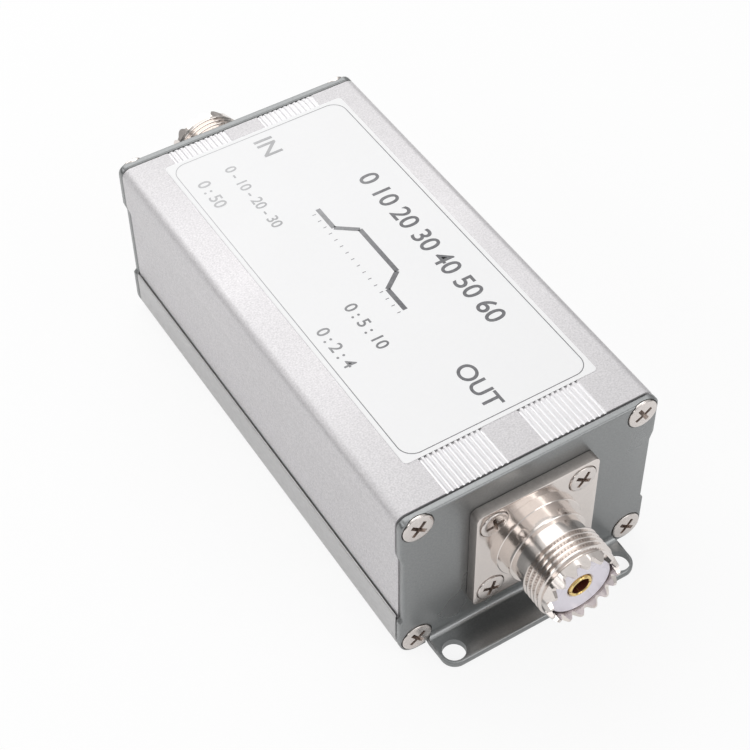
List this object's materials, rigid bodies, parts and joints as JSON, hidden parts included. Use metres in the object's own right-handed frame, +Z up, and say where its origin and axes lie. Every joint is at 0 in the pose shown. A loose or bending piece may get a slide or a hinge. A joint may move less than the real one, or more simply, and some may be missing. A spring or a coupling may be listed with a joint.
{
  "type": "rf bandpass filter",
  "caption": "Bandpass filter for radio work in an extruded aluminium case, with folded end plates, mounting feet and a threaded coaxial socket at each end.",
  "frame": {"origin": "centre of the case's underside, on the surface that the filter stands on", "axes": "Z is up, Y runs along the case from the antenna end (-Y) to the transmitter end (+Y), X runs across it"},
  "size_m": [0.054, 0.1372, 0.0389],
  "materials": {
    "upper_shell": "satin",
    "lower_shell": "satin",
    "end_plate": "satin",
    "label": "satin",
    "nickel": "polished",
    "screw": "polished",
    "insulator": "gloss",
    "contact": "polished",
    "zinc": "satin",
    "board": "matte",
    "core": "matte",
    "winding": "gloss",
    "capacitor": "matte",
    "wire": "satin"
  },
  "bodies": {
    "root": {"upper_shell": "upper_shell", "lower_shell": "lower_shell", "label": "label", "antenna_end_plate": "end_plate", "antenna_plate_screw_1": "screw", "antenna_plate_screw_2": "screw", "antenna_plate_screw_3": "screw", "antenna_plate_screw_4": "screw", "antenna_socket_body": "nickel", "antenna_insulator": "insulator", "antenna_centre_contact": "contact", "antenna_flange_screw_1": "screw", "antenna_flange_nut_1": "zinc", "antenna_flange_screw_2": "screw", "antenna_flange_nut_2": "zinc", "antenna_flange_screw_3": "screw", "antenna_flange_nut_3": "zinc", "antenna_flange_screw_4": "screw", "antenna_flange_nut_4": "zinc", "antenna_ground_lug": "zinc", "antenna_signal_wire": "wire", "antenna_ground_wire": "wire", "transmitter_end_plate": "end_plate", "transmitter_plate_screw_1": "screw", "transmitter_plate_screw_2": "screw", "transmitter_plate_screw_3": "screw", "transmitter_plate_screw_4": "screw", "transmitter_socket_body": "nickel", "transmitter_insulator": "insulator", "transmitter_centre_contact": "contact", "transmitter_flange_screw_1": "screw", "transmitter_flange_nut_1": "zinc", "transmitter_flange_screw_2": "screw", "transmitter_flange_nut_2": "zinc", "transmitter_flange_screw_3": "screw", "transmitter_flange_nut_3": "zinc", "transmitter_flange_screw_4": "screw", "transmitter_flange_nut_4": "zinc", "transmitter_ground_lug": "zinc", "transmitter_signal_wire": "wire", "transmitter_ground_wire": "wire", "circuit_board": "board", "toroid_core_1": "core", "toroid_winding_1": "winding", "toroid_core_2": "core", "toroid_winding_2": "winding", "toroid_core_3": "core", "toroid_winding_3": "winding", "capacitor_1": "capacitor", "capacitor_2": "capacitor", "capacitor_3": "capacitor", "capacitor_4": "capacitor", "capacitor_5": "capacitor"}
  },
  "joints": []
}
